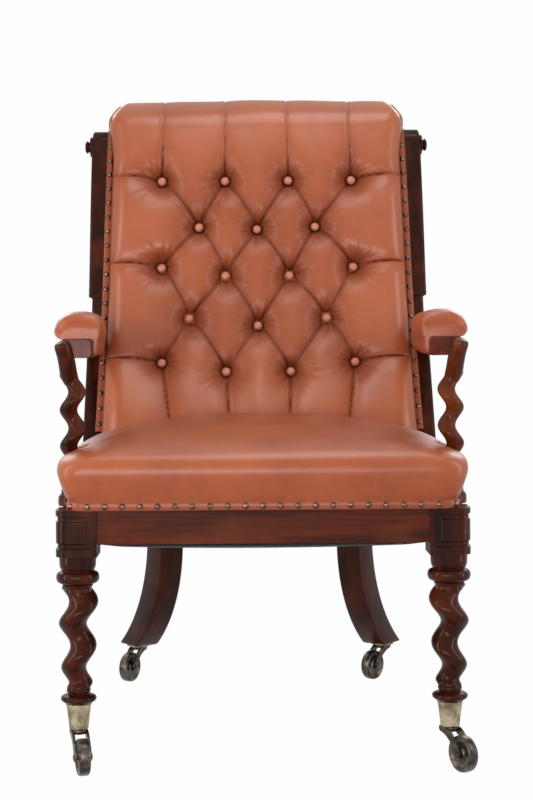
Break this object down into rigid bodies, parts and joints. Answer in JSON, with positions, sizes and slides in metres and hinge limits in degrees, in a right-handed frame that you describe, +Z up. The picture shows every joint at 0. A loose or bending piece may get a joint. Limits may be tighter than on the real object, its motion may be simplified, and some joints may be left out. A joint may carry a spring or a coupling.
{
  "type": "hall porter chair",
  "caption": "Leather-covered open armchair with a buttoned scroll back, sprung seat, spiral-turned front legs and arm supports, sabre rear legs and swivelling castors",
  "frame": {"origin": "on the floor, under the middle of the chair's bounding box", "axes": "+Z up, the sitter faces -Y, +X to the right of someone who stands in front of the chair"},
  "size_m": [0.636, 0.7682, 1.06],
  "materials": {
    "tan_leather": "orange tan hide, waxed, worn paler on the crowns",
    "dark_mahogany": "dark red mahogany, french polished",
    "beech": "plain beech, unfinished",
    "nail_bronze": "antiqued, nearly black in the hollows",
    "castor_brass": "aged brass, dull",
    "wheel_brass": "tarnished grey brown brass, worn on the tread",
    "spring_steel": "plain wire, oiled",
    "jute_webbing": "woven jute tape",
    "hessian": "coarse plain weave",
    "black_cambric": "thin black cotton, matt"
  },
  "bodies": {
    "chair": {"seat_front_rail": "dark_mahogany", "seat_rear_rail": "dark_mahogany", "seat_cushion": "tan_leather", "seat_hessian": "hessian", "seat_springs": "spring_steel", "seat_webbing": "jute_webbing", "seat_dust_cover": "black_cambric", "seat_banding": "tan_leather", "seat_nails": "nail_bronze", "back_top_rail": "beech", "back_bottom_rail": "beech", "back_lining": "hessian", "back_cushion": "tan_leather", "back_buttons": "tan_leather", "outside_back": "tan_leather", "post_bosses": "dark_mahogany", "front_castor_cups": "castor_brass", "rear_castor_plates": "castor_brass", "seat_side_rail_left": "dark_mahogany", "seat_corner_block_left": "beech", "front_leg_left": "dark_mahogany", "rear_leg_left": "dark_mahogany", "arm_support_left": "dark_mahogany", "arm_left": "dark_mahogany", "arm_pad_left": "tan_leather", "back_post_left": "dark_mahogany", "back_banding_left": "tan_leather", "back_nails_left": "nail_bronze", "seat_side_rail_right": "dark_mahogany", "seat_corner_block_right": "beech", "front_leg_right": "dark_mahogany", "rear_leg_right": "dark_mahogany", "arm_support_right": "dark_mahogany", "arm_right": "dark_mahogany", "arm_pad_right": "tan_leather", "back_post_right": "dark_mahogany", "back_banding_right": "tan_leather", "back_nails_right": "nail_bronze"},
    "front_left_castor": {"front_left_castor_horn": "castor_brass", "front_left_castor_axle": "castor_brass"},
    "front_left_wheel": {"front_left_castor_wheel": "wheel_brass"},
    "front_right_castor": {"front_right_castor_horn": "castor_brass", "front_right_castor_axle": "castor_brass"},
    "front_right_wheel": {"front_right_castor_wheel": "wheel_brass"},
    "rear_left_castor": {"rear_left_castor_horn": "castor_brass", "rear_left_castor_axle": "castor_brass"},
    "rear_left_wheel": {"rear_left_castor_wheel": "wheel_brass"},
    "rear_right_castor": {"rear_right_castor_horn": "castor_brass", "rear_right_castor_axle": "castor_brass"},
    "rear_right_wheel": {"rear_right_castor_wheel": "wheel_brass"}
  },
  "joints": [
    {"name": "front_left_castor_swivel", "type": "hinge", "parent": "chair", "child": "front_left_castor", "pos_m": [-0.266, -0.32878, 0.06], "axis": [0, 0, 1], "continuous": true},
    {"name": "front_left_wheel_spin", "type": "hinge", "parent": "front_left_castor", "child": "front_left_wheel", "pos_m": [-0.25798, -0.35769, 0.02587], "axis": [0.9636, 0.2672, 0], "continuous": true},
    {"name": "front_right_castor_swivel", "type": "hinge", "parent": "chair", "child": "front_right_castor", "pos_m": [0.266, -0.32878, 0.06], "axis": [0, 0, 1], "continuous": true},
    {"name": "front_right_wheel_spin", "type": "hinge", "parent": "front_right_castor", "child": "front_right_wheel", "pos_m": [0.281, -0.35476, 0.02587], "axis": [0.866, 0.5, 0], "continuous": true},
    {"name": "rear_left_castor_swivel", "type": "hinge", "parent": "chair", "child": "rear_left_castor", "pos_m": [-0.22173, 0.29483, 0.06], "axis": [0, 0, 1], "continuous": true},
    {"name": "rear_left_wheel_spin", "type": "hinge", "parent": "rear_left_castor", "child": "rear_left_wheel", "pos_m": [-0.23581, 0.26834, 0.02587], "axis": [0.8829, -0.4695, 0], "continuous": true},
    {"name": "rear_right_castor_swivel", "type": "hinge", "parent": "chair", "child": "rear_right_castor", "pos_m": [0.22173, 0.29483, 0.06], "axis": [0, 0, 1], "continuous": true},
    {"name": "rear_right_wheel_spin", "type": "hinge", "parent": "rear_right_castor", "child": "rear_right_wheel", "pos_m": [0.20245, 0.27185, 0.02587], "axis": [0.766, -0.6428, 0], "continuous": true}
  ]
}
